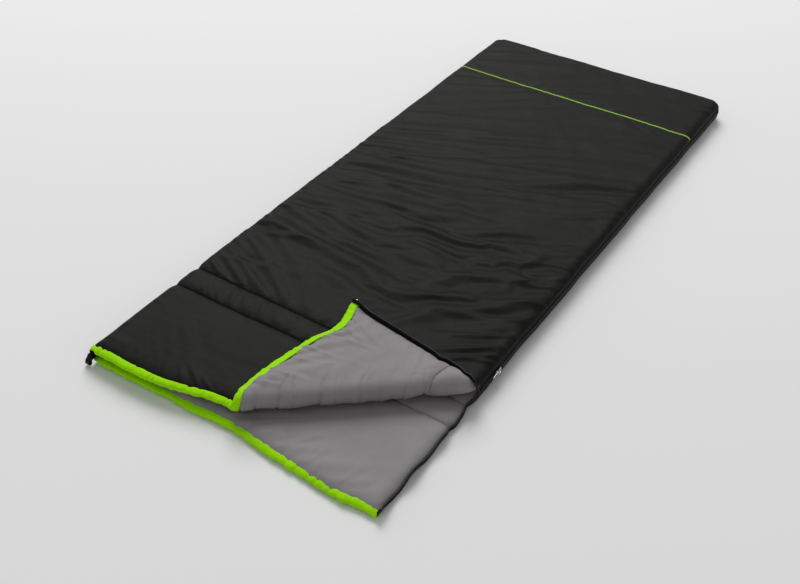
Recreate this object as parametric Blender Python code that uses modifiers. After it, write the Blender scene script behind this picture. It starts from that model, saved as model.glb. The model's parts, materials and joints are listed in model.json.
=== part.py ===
"""A rectangular sleeping bag lying flat, zipped along one side and the foot, with one mouth corner folded back.

Metres. X runs across the bag with the zip side at +X, Y runs along it with the mouth at -Y, and Z is up. The
ground is Z = 0, under the bottom quilt. Each quilt is a shell sheet and a lining sheet, turned down round the
edges, with a padding slab between them. The top quilt is built whole and then cut along the fold line, and its
corner is turned over about the fold hinge.
"""

import math

import bmesh
import bpy
from mathutils import Matrix, Vector

# Driving dimensions
BAG_WIDTH = 0.850
BAG_LENGTH = 2.000
QUILT_THICKNESS = 0.028
INNER_GAP = 0.006
EDGE_RADIUS = 0.013
FOOT_CORNER_RADIUS = 0.035
FABRIC = 0.0010
GAP = 0.0003

# The mouth's bindings, and the piping that marks off the foot panel
BINDING_WIDTH = 0.0275
PIPING_Y = 0.725
PIPING_RADIUS = 0.0015

# The fold line crosses the mouth edge at FOLD_X and runs this way in plan; the padding bulges out past it
FOLD_X = -0.056
FOLD_ANGLE = math.radians(40.5)
FOLD_BULGE = 0.013

# The zip: distances are outwards from the quilts' edge
TAPE_WIDTH = 0.0150
TAPE_THICKNESS = 0.0007
TAPE_OUT = 0.0005
COIL_HEIGHT = 0.0030
COIL_THICKNESS = 0.0022
COIL_OUT = TAPE_OUT + TAPE_THICKNESS + GAP
COIL_SPACE = 0.0020
TAPE_START_Y = -0.990
COIL_START_Y = -0.980
TAPE_END_X = -0.405
COIL_END_X = -0.396
STOP_LENGTH = 0.0045
MAIN_SLIDER_Y = -0.493
FOOT_SLIDER_X = -0.375

# The slider and its pull, in the slider's own frame: X along the zip, Y outwards, Z across the teeth
SLIDER_LENGTH = 0.0240
SLIDER_HEIGHT = 0.0145
SLIDER_NOSE_HEIGHT = 0.0110
PLATE_THICKNESS = 0.0017
BRIDGE_OUTER_RADIUS = 0.0045
BRIDGE_INNER_RADIUS = 0.0030
BRIDGE_WIDTH = 0.0018
PULL_LENGTH = 0.0300
PULL_WIDTH = 0.0090
PULL_THICKNESS = 0.0012
PULL_BAR = 0.0014

# The webbing loop at the mouth's left corner
LOOP_WIDTH = 0.0150
LOOP_HEIGHT = 0.0270
LOOP_WEBBING = 0.0014
LOOP_DEPTH = 0.0080
LOOP_X = -0.4320
LOOP_Y = -1.0065
LOOP_TOP_Z = 0.0310

SEAM_CORD_RADIUS = 0.0012
SEAM_AXIS_OUT = 0.0020

# Places that follow from them
HALF_WIDTH = BAG_WIDTH / 2
HALF_LENGTH = BAG_LENGTH / 2
BOTTOM_TOP_Z = QUILT_THICKNESS
TOP_LOW_Z = QUILT_THICKNESS + INNER_GAP
TOP_HIGH_Z = TOP_LOW_Z + QUILT_THICKNESS
ZIP_Z = QUILT_THICKNESS + INNER_GAP / 2
BINDING_SEAM_Y = BINDING_WIDTH - HALF_LENGTH
PADDING_INSET = FABRIC + GAP
FOLD_DIRECTION = Vector((math.cos(FOLD_ANGLE), math.sin(FOLD_ANGLE), 0.0))
FOLD_NORMAL = Vector((-math.sin(FOLD_ANGLE), math.cos(FOLD_ANGLE), 0.0))
FOLD_POINT = Vector((FOLD_X, -HALF_LENGTH, TOP_HIGH_Z + GAP))
ARC_STEPS = 6
RIM_SEGMENTS = 4

MATERIALS = {
    "shell_fabric": ((0.030, 0.028, 0.026), 0.62, 0.0),
    "lining_fabric": ((0.230, 0.220, 0.225), 0.75, 0.0),
    "padding": ((0.820, 0.820, 0.800), 0.95, 0.0),
    "binding_tape": ((0.270, 0.580, 0.010), 0.70, 0.0),
    "piping_cord": ((0.380, 0.680, 0.100), 0.65, 0.0),
    "zip_tape": ((0.010, 0.010, 0.011), 0.85, 0.0),
    "zip_coil": ((0.015, 0.015, 0.016), 0.45, 0.0),
    "zip_metal": ((0.720, 0.720, 0.730), 0.28, 1.0),
    "webbing": ((0.012, 0.012, 0.013), 0.80, 0.0),
}


def clear_scene():
    for obj in list(bpy.data.objects):
        bpy.data.objects.remove(obj)


def make_collection(name, hidden):
    collection = bpy.data.collections.new(name)
    collection.hide_render = hidden
    bpy.context.scene.collection.children.link(collection)
    return collection


def material(name):
    """The named Principled material, made on first use."""
    found = bpy.data.materials.get(name)
    if found:
        return found
    colour, roughness, metallic = MATERIALS[name]
    made = bpy.data.materials.new(name)
    made.use_nodes = True
    shader = made.node_tree.nodes["Principled BSDF"]
    shader.inputs["Base Color"].default_value = (*colour, 1.0)
    shader.inputs["Roughness"].default_value = roughness
    shader.inputs["Metallic"].default_value = metallic
    made.diffuse_color = (*colour, 1.0)
    return made


def object_from(bm, name, material_name=None):
    """The bmesh as an object: a part if it has a material, or a hidden cutter."""
    mesh = bpy.data.meshes.new(name)
    bm.to_mesh(mesh)
    bm.free()
    return placed(bpy.data.objects.new(name, mesh), material_name)


def placed(obj, material_name):
    if material_name:
        obj.data.materials.append(material(material_name))
        bpy.data.collections["rectangular_sleeping_bag"].objects.link(obj)
    else:
        obj.hide_render = True
        obj.display_type = "WIRE"
        bpy.data.collections["cutters"].objects.link(obj)
    return obj


def solidify(obj, thickness, offset):
    modifier = obj.modifiers.new("thickness", "SOLIDIFY")
    modifier.thickness = thickness
    modifier.offset = offset
    modifier.use_even_offset = True


def boolean(obj, other, operation):
    modifier = obj.modifiers.new(other.name, "BOOLEAN")
    modifier.operation = operation
    modifier.object = other
    modifier.solver = "EXACT"


def as_mesh(obj):
    """The object's shape with its modifiers applied, as a new welded mesh."""
    bpy.context.view_layer.update()
    graph = bpy.context.evaluated_depsgraph_get()
    mesh = bpy.data.meshes.new_from_object(obj.evaluated_get(graph))
    bm = bmesh.new()
    bm.from_mesh(mesh)
    bmesh.ops.remove_doubles(bm, verts=bm.verts, dist=1e-6)
    bm.to_mesh(mesh)
    bm.free()
    return mesh


def prism(name, outline, depth, material_name=None):
    """A flat outline in XY, extruded up by depth from Z = 0."""
    bm = bmesh.new()
    face = bm.faces.new([bm.verts.new((x, y, 0.0)) for x, y in outline])
    raised = bmesh.ops.extrude_face_region(bm, geom=[face])["geom"]
    verts = [item for item in raised if isinstance(item, bmesh.types.BMVert)]
    bmesh.ops.translate(bm, verts=verts, vec=(0.0, 0.0, depth))
    bmesh.ops.recalc_face_normals(bm, faces=bm.faces)
    return object_from(bm, name, material_name)


def half_space(name, point, outwards):
    """A cutter that fills everything on one side of an upright plane, near the bag."""
    size = 3 * BAG_LENGTH
    bm = bmesh.new()
    bmesh.ops.create_cube(bm, size=size)
    turn = Vector((1.0, 0.0, 0.0)).rotation_difference(outwards).to_matrix().to_4x4()
    middle = Vector(point) + outwards * size / 2
    bm.transform(Matrix.Translation((middle.x, middle.y, 0.0)) @ turn)
    return object_from(bm, name)


def quilt_outline(inset, mouth_y):
    """The quilt in plan, counter-clockwise from the mouth's left corner, with rounded foot corners."""
    half = HALF_WIDTH - inset
    foot = HALF_LENGTH - inset
    radius = FOOT_CORNER_RADIUS - inset
    points = [(-half, mouth_y), (half, mouth_y)]
    for centre_x, start in ((half - radius, 0.0), (radius - half, math.pi / 2)):
        for step in range(ARC_STEPS + 1):
            angle = start + step * math.pi / 2 / ARC_STEPS
            x = centre_x + radius * math.cos(angle)
            points.append((x, foot - radius + radius * math.sin(angle)))
    return points


def fabric_tray(name, face_z, rim_z, material_name):
    """A sheet over one face of a quilt, turned round its sides and foot to the seam, and open at the mouth."""
    bm = bmesh.new()
    outline = quilt_outline(0.0, BINDING_SEAM_Y)
    face = bm.faces.new([bm.verts.new((x, y, face_z)) for x, y in outline])
    if (face.normal_update() or face.normal.z) * (face_z - rim_z) < 0:
        face.normal_flip()
    mouth = {bm.verts[:][0], bm.verts[:][1]}
    rim = [edge for edge in bm.edges if set(edge.verts) != mouth]
    walls = bmesh.ops.extrude_edge_only(bm, edges=rim)["geom"]
    verts = [item for item in walls if isinstance(item, bmesh.types.BMVert)]
    bmesh.ops.translate(bm, verts=verts, vec=(0.0, 0.0, rim_z - face_z))
    bmesh.ops.bevel(
        bm, geom=rim, offset=EDGE_RADIUS, segments=RIM_SEGMENTS, affect="EDGES", profile=0.5, clamp_overlap=False
    )
    bmesh.ops.recalc_face_normals(bm, faces=bm.faces)
    flat = max(bm.faces, key=lambda item: item.calc_area())
    if flat.normal.z * (face_z - rim_z) < 0:
        bmesh.ops.reverse_faces(bm, faces=bm.faces)
    obj = object_from(bm, name, material_name)
    solidify(obj, FABRIC, -1.0)
    return obj


def padding_slab(name, low_z):
    """The padding inside a quilt: a closed slab with rounded edges, which fills the mouth's binding too."""
    height = QUILT_THICKNESS - 2 * PADDING_INSET
    outline = quilt_outline(PADDING_INSET, PADDING_INSET - HALF_LENGTH)
    obj = prism(name, outline, height, "padding")
    bm = bmesh.new()
    bm.from_mesh(obj.data)
    level = [edge for edge in bm.edges if abs(edge.verts[0].co.z - edge.verts[1].co.z) < GAP]
    bmesh.ops.bevel(
        bm,
        geom=level,
        offset=EDGE_RADIUS - PADDING_INSET,
        segments=RIM_SEGMENTS,
        affect="EDGES",
        profile=0.5,
        clamp_overlap=False,
    )
    bmesh.ops.translate(bm, verts=bm.verts, vec=(0.0, 0.0, low_z + PADDING_INSET))
    bm.to_mesh(obj.data)
    bm.free()
    return obj


def mouth_binding(name, low_z):
    """The tape that wraps a quilt's mouth edge: a U in the YZ plane, along the whole width."""
    profile = [(BINDING_SEAM_Y - GAP, low_z)]
    for centre_z, start in ((low_z + EDGE_RADIUS, -90.0), (low_z + QUILT_THICKNESS - EDGE_RADIUS, -180.0)):
        for step in range(RIM_SEGMENTS + 1):
            angle = math.radians(start - step * 90.0 / RIM_SEGMENTS)
            y = EDGE_RADIUS - HALF_LENGTH + EDGE_RADIUS * math.cos(angle)
            profile.append((y, centre_z + EDGE_RADIUS * math.sin(angle)))
    profile.append((BINDING_SEAM_Y - GAP, low_z + QUILT_THICKNESS))
    bm = bmesh.new()
    verts = [bm.verts.new((-HALF_WIDTH, y, z)) for y, z in profile]
    edges = [bm.edges.new(pair) for pair in zip(verts, verts[1:])]
    moved = bmesh.ops.extrude_edge_only(bm, edges=edges)["geom"]
    ends = [item for item in moved if isinstance(item, bmesh.types.BMVert)]
    bmesh.ops.translate(bm, verts=ends, vec=(BAG_WIDTH, 0.0, 0.0))
    bmesh.ops.recalc_face_normals(bm, faces=bm.faces)
    front = min(bm.faces, key=lambda item: item.calc_center_median().y)
    if front.normal.y > 0:
        bmesh.ops.reverse_faces(bm, faces=bm.faces)
    obj = object_from(bm, name, "binding_tape")
    solidify(obj, FABRIC, -1.0)
    return obj


def edge_path(out, start_y, end_x):
    """The line that runs this far outside the quilts, up the zip side and along the foot."""
    radius = FOOT_CORNER_RADIUS + out
    centre = (HALF_WIDTH - FOOT_CORNER_RADIUS, HALF_LENGTH - FOOT_CORNER_RADIUS)
    points = [(HALF_WIDTH + out, start_y)]
    for step in range(ARC_STEPS + 1):
        angle = step * math.pi / 2 / ARC_STEPS
        points.append((centre[0] + radius * math.cos(angle), centre[1] + radius * math.sin(angle)))
    points.append((end_x, HALF_LENGTH + out))
    return points


def edge_ribbon(name, out, thickness, low_z, height, ends, material_name):
    """A band that stands on edge along the zip's line: a tape, or a row of teeth taken as one bar."""
    bm = bmesh.new()
    verts = [bm.verts.new((x, y, low_z)) for x, y in edge_path(out, *ends)]
    edges = [bm.edges.new(pair) for pair in zip(verts, verts[1:])]
    moved = bmesh.ops.extrude_edge_only(bm, edges=edges)["geom"]
    upper = [item for item in moved if isinstance(item, bmesh.types.BMVert)]
    bmesh.ops.translate(bm, verts=upper, vec=(0.0, 0.0, height))
    bmesh.ops.recalc_face_normals(bm, faces=bm.faces)
    side = max(bm.faces, key=lambda item: item.calc_center_median().x)
    if side.normal.x < 0:
        bmesh.ops.reverse_faces(bm, faces=bm.faces)
    obj = object_from(bm, name, material_name)
    solidify(obj, thickness, 1.0)
    return obj


def block(name, low, high, material_name):
    """A small box between two corners, with softened edges."""
    bm = bmesh.new()
    bmesh.ops.create_cube(bm, size=1.0)
    low, high = Vector(low), Vector(high)
    size = high - low
    bmesh.ops.scale(bm, verts=bm.verts, vec=size)
    bmesh.ops.translate(bm, verts=bm.verts, vec=(low + high) / 2)
    bmesh.ops.bevel(bm, geom=bm.edges, offset=min(size) * 0.2, segments=1, affect="EDGES")
    return object_from(bm, name, material_name)


def tube(name, points, radius, material_name):
    """A round cord along a line of points."""
    curve = bpy.data.curves.new(name, "CURVE")
    curve.dimensions = "3D"
    curve.bevel_depth = radius
    curve.bevel_resolution = 2
    curve.use_fill_caps = True
    spline = curve.splines.new("POLY")
    spline.points.add(len(points) - 1)
    for target, point in zip(spline.points, points):
        target.co = (*point, 1.0)
    return placed(bpy.data.objects.new(name, curve), material_name)


def rounded_rectangle(width, height, radius, centre):
    """Points round a rectangle with round corners, counter-clockwise."""
    points = []
    for quarter in range(4):
        side_x = 1 if quarter in (0, 3) else -1
        side_y = 1 if quarter in (0, 1) else -1
        middle = (centre[0] + side_x * (width / 2 - radius), centre[1] + side_y * (height / 2 - radius))
        for step in range(ARC_STEPS + 1):
            angle = (quarter + step / ARC_STEPS) * math.pi / 2
            points.append((middle[0] + radius * math.cos(angle), middle[1] + radius * math.sin(angle)))
    return points


def flat_outline(name, outlines, thickness, material_name):
    """A flat plate in XY with holes: the first outline is its edge and the others are holes."""
    curve = bpy.data.curves.new(name, "CURVE")
    curve.dimensions = "2D"
    curve.fill_mode = "BOTH"
    curve.extrude = thickness / 2
    for outline in outlines:
        spline = curve.splines.new("POLY")
        spline.use_cyclic_u = True
        spline.points.add(len(outline) - 1)
        for target, (x, y) in zip(spline.points, outline):
            target.co = (x, y, 0.0, 1.0)
    return placed(bpy.data.objects.new(name, curve), material_name)


def slider_mesh():
    """The slider's body: two plates, the wedge that joins them between the teeth, and the bridge for its pull."""
    half, nose = SLIDER_HEIGHT / 2, SLIDER_NOSE_HEIGHT / 2
    shield = [
        (-SLIDER_LENGTH / 2, -half * 0.72),
        (-SLIDER_LENGTH * 0.22, -half),
        (SLIDER_LENGTH * 0.18, -nose),
        (SLIDER_LENGTH / 2, -nose),
        (SLIDER_LENGTH / 2, nose),
        (SLIDER_LENGTH * 0.18, nose),
        (-SLIDER_LENGTH * 0.22, half),
        (-SLIDER_LENGTH / 2, half * 0.72),
    ]
    inner_y = TAPE_OUT - 0.0007
    outer_y = COIL_OUT + COIL_THICKNESS + 0.0004
    upright = Matrix.Rotation(math.pi / 2, 4, "X")

    def plate(name, start_y, depth):
        made = prism(name, shield, depth)
        made.data.transform(Matrix.Translation((0.0, start_y + depth, 0.0)) @ upright)
        return made

    body = plate("slider_outer_plate", outer_y, PLATE_THICKNESS)
    inner = plate("slider_inner_plate", inner_y - PLATE_THICKNESS, PLATE_THICKNESS)
    wedge_length, wedge_height = 0.0050, COIL_SPACE - 0.0008
    wedge = prism("slider_wedge", rounded_rectangle(wedge_length, wedge_height, 0.0005, (-0.008, 0.0)), 0.0060)
    wedge.data.transform(Matrix.Translation((0.0, outer_y + 0.0006, 0.0)) @ upright)
    steps = 10
    arch = []
    for radius, order in ((BRIDGE_OUTER_RADIUS, 1), (BRIDGE_INNER_RADIUS, -1)):
        angles = [math.pi * step / steps for step in range(steps + 1)][::order]
        arch.append((order * radius, -0.0006))
        arch += [(radius * math.cos(angle), radius * math.sin(angle)) for angle in angles]
        arch.append((-order * radius, -0.0006))
    bridge = prism("slider_bridge", arch, BRIDGE_WIDTH)
    bridge.data.transform(Matrix.Translation((0.0, outer_y + PLATE_THICKNESS, -BRIDGE_WIDTH / 2)))
    for extra in (inner, wedge, bridge):
        boolean(body, extra, "UNION")
    mesh = as_mesh(body)
    for used in (body, inner, wedge, bridge):
        bpy.data.objects.remove(used)
    mesh.name = "slider"
    mesh.materials.clear()
    return mesh


def pull_mesh():
    """The slider's pull, from its bar at the origin, lying towards -X."""
    middle = PULL_BAR / 2 - PULL_LENGTH / 2
    window_length = 0.0062
    window = rounded_rectangle(window_length, 0.0046, 0.0008, (-PULL_BAR / 2 - window_length / 2, 0.0))
    grip = rounded_rectangle(0.0120, 0.0040, 0.0015, (-0.0190, 0.0))
    edge = rounded_rectangle(PULL_LENGTH, PULL_WIDTH, 0.0025, (middle, 0.0))
    plate = flat_outline("pull_outline", [edge, window, grip], PULL_THICKNESS, None)
    mesh = as_mesh(plate)
    bpy.data.objects.remove(plate)
    mesh.transform(Matrix.Rotation(math.pi / 2, 4, "X"))
    mesh.name = "pull"
    mesh.materials.clear()
    return mesh


def add_slider(name, body, pull, matrix):
    """One slider on the zip and its pull, whose origin is the pull's bar."""
    slider = placed(bpy.data.objects.new(name, body), "zip_metal")
    slider.matrix_world = matrix
    tab = placed(bpy.data.objects.new(name + "_pull", pull), "zip_metal")
    bar_y = COIL_OUT + COIL_THICKNESS + 0.0004 + PLATE_THICKNESS + BRIDGE_INNER_RADIUS / 2
    tab.parent = slider
    tab.location = (0.0, bar_y, 0.0)


def build_sliders():
    body, pull = slider_mesh(), pull_mesh()
    along_side = Matrix(((0, 1, 0), (1, 0, 0), (0, 0, -1))).to_4x4()
    add_slider(
        "main_slider", body, pull, Matrix.Translation((HALF_WIDTH, MAIN_SLIDER_Y, ZIP_Z)) @ along_side
    )
    add_slider("foot_slider", body.copy(), pull.copy(), Matrix.Translation((FOOT_SLIDER_X, HALF_LENGTH, ZIP_Z)))


def build_zip_half(prefix, side):
    """One tape and its row of teeth; side is -1 for the bottom quilt's half and +1 for the top's."""
    tape_low = ZIP_Z + (0.0012 if side > 0 else -0.0012 - TAPE_WIDTH)
    coil_low = ZIP_Z + (COIL_SPACE / 2 if side > 0 else -COIL_SPACE / 2 - COIL_HEIGHT)
    tape = edge_ribbon(
        prefix + "_zip_tape",
        TAPE_OUT,
        TAPE_THICKNESS,
        tape_low,
        TAPE_WIDTH,
        (TAPE_START_Y, TAPE_END_X),
        "zip_tape",
    )
    coil = edge_ribbon(
        prefix + "_zip_coil",
        COIL_OUT,
        COIL_THICKNESS,
        coil_low,
        COIL_HEIGHT,
        (COIL_START_Y, COIL_END_X),
        "zip_coil",
    )
    return [tape, coil]


def zip_end(name, corner, along, side):
    """A metal block just past the end of one row of teeth, on its tape."""
    low_z = ZIP_Z + (COIL_SPACE / 2 - 0.0004 if side > 0 else -COIL_SPACE / 2 - COIL_HEIGHT - 0.0004)
    reach = COIL_THICKNESS + 0.0003
    if along == "Y":
        low = (HALF_WIDTH + COIL_OUT, corner, low_z)
        high = (HALF_WIDTH + COIL_OUT + reach, corner + STOP_LENGTH, low_z + COIL_HEIGHT + 0.0008)
    else:
        low = (corner, HALF_LENGTH + COIL_OUT, low_z)
        high = (corner + STOP_LENGTH, HALF_LENGTH + COIL_OUT + reach, low_z + COIL_HEIGHT + 0.0008)
    return block(name, low, high, "zip_metal")


def build_bottom_quilt():
    middle = QUILT_THICKNESS / 2
    fabric_tray("bottom_shell", 0.0, middle - GAP / 2, "shell_fabric")
    fabric_tray("bottom_lining", BOTTOM_TOP_Z, middle + GAP / 2, "lining_fabric")
    padding_slab("bottom_padding", 0.0)
    mouth_binding("bottom_mouth_binding", 0.0)
    build_zip_half("bottom", -1)
    zip_end("bottom_zip_stop", COIL_START_Y - GAP - STOP_LENGTH, "Y", -1)
    zip_end("zip_retainer_box", COIL_END_X - GAP - STOP_LENGTH, "X", -1)


def build_top_quilt():
    """The top quilt's layers, each cut into the part that lies flat and the corner that folds back."""
    middle = (TOP_LOW_Z + TOP_HIGH_Z) / 2
    corner_side = half_space("corner_side", FOLD_POINT + FOLD_NORMAL * GAP, -FOLD_NORMAL)
    flat_side = half_space("flat_side", FOLD_POINT - FOLD_NORMAL * GAP, FOLD_NORMAL)
    along = Vector((0.0, 1.0, 0.0))
    seam = PIPING_RADIUS + GAP
    foot_side = half_space("foot_side", (0.0, PIPING_Y - seam, 0.0), along)
    mouth_side = half_space("mouth_side", (0.0, PIPING_Y + seam, 0.0), -along)

    def layers(prefix):
        return [
            fabric_tray(prefix + "_shell", TOP_HIGH_Z, middle + GAP / 2, "shell_fabric"),
            fabric_tray(prefix + "_lining", TOP_LOW_Z, middle - GAP / 2, "lining_fabric"),
            padding_slab(prefix + "_padding", TOP_LOW_Z),
            mouth_binding(prefix + "_mouth_binding", TOP_LOW_Z),
            *build_zip_half(prefix, 1),
        ]

    flat = layers("top")
    corner = layers("flap")
    for obj in flat:
        boolean(obj, corner_side, "DIFFERENCE")
    for obj in corner:
        boolean(obj, flat_side, "DIFFERENCE")
    boolean(flat[0], foot_side, "DIFFERENCE")
    foot_panel = fabric_tray("foot_panel", TOP_HIGH_Z, middle + GAP / 2, "shell_fabric")
    boolean(foot_panel, mouth_side, "DIFFERENCE")
    flat.append(foot_panel)
    flat.append(build_piping())
    flat.append(zip_end("zip_insertion_pin", COIL_END_X - GAP - STOP_LENGTH, "X", 1))
    corner.append(zip_end("flap_zip_stop", COIL_START_Y - GAP - STOP_LENGTH, "Y", 1))
    # A Boolean reads its cutter where it stands, so the corner's cutter turns over with the corner
    corner.append(flat_side)
    return flat, corner


def build_piping():
    """The cord across the top quilt, laid in the seam and down round both edges."""
    radius = EDGE_RADIUS + PIPING_RADIUS - FABRIC
    centre_x = HALF_WIDTH - EDGE_RADIUS
    centre_z = TOP_HIGH_Z - EDGE_RADIUS
    steps = 5
    half = [math.radians(75.0) * (1 - step / steps) for step in range(steps + 1)]
    points = []
    for side, angles in ((-1, half), (1, half[::-1])):
        for angle in angles:
            x = side * (centre_x + radius * math.sin(angle))
            points.append((x, PIPING_Y, centre_z + radius * math.cos(angle)))
    return tube("foot_piping", points, PIPING_RADIUS, "piping_cord")


def build_fold():
    """The lining and the padding where they bend round the fold, from the flat quilt up to the turned corner."""
    half_height = QUILT_THICKNESS + GAP
    steps = 12

    def bend(name, bulge, height, shell, material_name):
        angles = [math.pi * step / steps - math.pi / 2 for step in range(steps + 1)]
        outer = [(bulge * math.cos(angle) + 2 * GAP, height * math.sin(angle)) for angle in angles]
        if shell:
            thin = [
                ((bulge - FABRIC) * math.cos(angle) + 2 * GAP, (height - FABRIC) * math.sin(angle))
                for angle in reversed(angles)
            ]
            outer += thin
        made = prism(name, outer, 1.0, material_name)
        turn = Matrix((-FOLD_NORMAL, (0.0, 0.0, 1.0), -FOLD_DIRECTION)).transposed().to_4x4()
        made.data.transform(Matrix.Translation(FOLD_POINT + FOLD_DIRECTION * 0.8) @ turn)
        boolean(made, past_mouth, "DIFFERENCE")
        boolean(made, past_side, "DIFFERENCE")
        return made

    past_mouth = half_space("past_mouth", (0.0, BINDING_SEAM_Y, 0.0), Vector((0.0, -1.0, 0.0)))
    past_side = half_space("past_side", (HALF_WIDTH - 0.002, 0.0, 0.0), Vector((1.0, 0.0, 0.0)))
    lining = bend("fold_lining", FOLD_BULGE, half_height, True, "lining_fabric")
    inner = FABRIC + GAP
    padding = bend("fold_padding", FOLD_BULGE - inner, half_height - inner, False, "padding")
    return [lining, padding]


def build_left_seam():
    """The seam that hinges the two quilts: its cord on the hinge line, and the strip that covers it."""
    ends = (TAPE_START_Y, HALF_LENGTH - FOOT_CORNER_RADIUS)
    axis_x = -HALF_WIDTH - SEAM_AXIS_OUT
    tube("left_seam_cord", [(axis_x, y, ZIP_Z) for y in ends], SEAM_CORD_RADIUS, "webbing")
    out = axis_x - SEAM_CORD_RADIUS - GAP
    low_z = ZIP_Z - 0.0012 - TAPE_WIDTH
    strip_height = 2 * (ZIP_Z - low_z)
    outline = [(out - TAPE_THICKNESS, ends[0]), (out, ends[0]), (out, ends[1]), (out - TAPE_THICKNESS, ends[1])]
    strip = prism("left_side_strip", outline, strip_height, "shell_fabric")
    strip.data.transform(Matrix.Translation((0.0, 0.0, low_z)))
    return strip


def build_loop():
    """The webbing loop that hangs at the mouth's left corner; its origin is the stitched top."""
    middle = (0.0, LOOP_WEBBING / 2 - LOOP_HEIGHT / 2)
    corner = LOOP_WIDTH * 0.45
    outer = rounded_rectangle(LOOP_WIDTH, LOOP_HEIGHT, corner, middle)
    inner = rounded_rectangle(
        LOOP_WIDTH - 2 * LOOP_WEBBING, LOOP_HEIGHT - 2 * LOOP_WEBBING, corner - LOOP_WEBBING, middle
    )
    loop = flat_outline("hang_loop", [outer, inner], LOOP_DEPTH, "webbing")
    loop.matrix_world = Matrix.Translation((LOOP_X, LOOP_Y, LOOP_TOP_Z)) @ Matrix.Rotation(math.pi / 2, 4, "X")


def make_hinge(name, point, direction, children):
    """An empty on a hinge's line, with its X along it, that carries the pieces that turn."""
    hinge = bpy.data.objects.new(name, None)
    bpy.data.collections["rectangular_sleeping_bag"].objects.link(hinge)
    turn = Vector((1.0, 0.0, 0.0)).rotation_difference(direction).to_matrix().to_4x4()
    hinge.matrix_world = Matrix.Translation(point) @ turn
    for child in children:
        child.parent = hinge
        child.matrix_parent_inverse = hinge.matrix_world.inverted()
    return hinge


def main():
    clear_scene()
    make_collection("rectangular_sleeping_bag", hidden=False)
    make_collection("cutters", hidden=True)
    build_bottom_quilt()
    flat, corner = build_top_quilt()
    flap_hinge = make_hinge("corner_flap_hinge", FOLD_POINT, FOLD_DIRECTION, corner)
    flap_hinge.matrix_world = flap_hinge.matrix_world @ Matrix.Rotation(-math.pi, 4, "X")
    strip = build_left_seam()
    axis_point = Vector((-HALF_WIDTH - SEAM_AXIS_OUT, 0.0, ZIP_Z))
    turning = [*flat, *build_fold(), strip, flap_hinge]
    make_hinge("top_quilt_hinge", axis_point, Vector((0.0, -1.0, 0.0)), turning)
    build_sliders()
    build_loop()


main()
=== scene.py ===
"""The looks of a rectangular sleeping bag: its fabrics, bindings, zip and small parts, round the CAD frame.

Metres, in the frame of the CAD. X runs across the bag, zip at +X, and Y along it, mouth at -Y. Every fabric
sheet starts as a grid in the bag's own flat coordinates, u across and v along, which are also its UV map. Its
height comes from the quilt's rounded section, the sewn seams, listed creases and a cloth simulation.
What crosses the fold line is then turned over by fold_over().
"""

import json
import math

import bmesh
import bpy
import numpy as np
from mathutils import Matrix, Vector


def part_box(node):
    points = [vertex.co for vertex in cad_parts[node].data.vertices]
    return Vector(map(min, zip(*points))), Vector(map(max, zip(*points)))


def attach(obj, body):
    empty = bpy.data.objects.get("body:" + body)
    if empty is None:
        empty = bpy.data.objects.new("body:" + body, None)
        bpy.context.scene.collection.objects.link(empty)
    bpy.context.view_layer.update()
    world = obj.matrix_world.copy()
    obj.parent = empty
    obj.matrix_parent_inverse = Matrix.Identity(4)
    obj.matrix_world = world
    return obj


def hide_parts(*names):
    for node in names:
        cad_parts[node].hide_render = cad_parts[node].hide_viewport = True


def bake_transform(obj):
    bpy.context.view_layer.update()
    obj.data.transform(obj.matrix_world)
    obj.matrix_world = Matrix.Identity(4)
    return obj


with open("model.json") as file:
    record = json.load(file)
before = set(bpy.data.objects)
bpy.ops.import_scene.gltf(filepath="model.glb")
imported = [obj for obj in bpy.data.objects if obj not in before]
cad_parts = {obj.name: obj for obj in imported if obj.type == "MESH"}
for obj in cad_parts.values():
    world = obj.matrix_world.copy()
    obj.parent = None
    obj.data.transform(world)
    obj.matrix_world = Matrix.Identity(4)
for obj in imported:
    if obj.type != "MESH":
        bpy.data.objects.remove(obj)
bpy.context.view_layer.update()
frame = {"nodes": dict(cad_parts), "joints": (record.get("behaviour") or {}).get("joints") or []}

# Places read from the frame
SHELL_LOW, SHELL_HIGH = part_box("bottom_shell")
HALF_WIDTH = SHELL_HIGH.x
FOOT_Y = SHELL_HIGH.y
MOUTH_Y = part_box("bottom_mouth_binding")[0].y
BINDING_SEAM_Y = 0.36 * MOUTH_Y + 0.64 * SHELL_LOW.y
BOTTOM_TOP_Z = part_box("bottom_lining")[1].z
TOP_LOW_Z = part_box("top_lining")[0].z
TOP_HIGH_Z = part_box("top_shell")[1].z
HALF_THICKNESS = (TOP_HIGH_Z - TOP_LOW_Z) / 2
BOTTOM_RIM_Z = BOTTOM_TOP_Z / 2
TOP_RIM_Z = (TOP_LOW_Z + TOP_HIGH_Z) / 2
ZIP_Z = (BOTTOM_TOP_Z + TOP_LOW_Z) / 2
PIPING_Y = (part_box("foot_piping")[0].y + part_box("foot_piping")[1].y) / 2
JOINTS = {joint["name"]: joint for joint in frame["joints"]}
FOLD_POINT = np.array(JOINTS["corner_fold"]["pos_m"])
FOLD_DIRECTION = np.array(JOINTS["corner_fold"]["axis"])[:2]
FOLD_NORMAL = np.array([-FOLD_DIRECTION[1], FOLD_DIRECTION[0]])
FOLD_END_Y = FOLD_POINT[1] + (HALF_WIDTH - FOLD_POINT[0]) * FOLD_DIRECTION[1] / FOLD_DIRECTION[0]
SLIDER_Y = sum(corner.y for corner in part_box("main_slider")) / 2
STOP_Y = sum(corner.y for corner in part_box("bottom_zip_stop")) / 2

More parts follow.
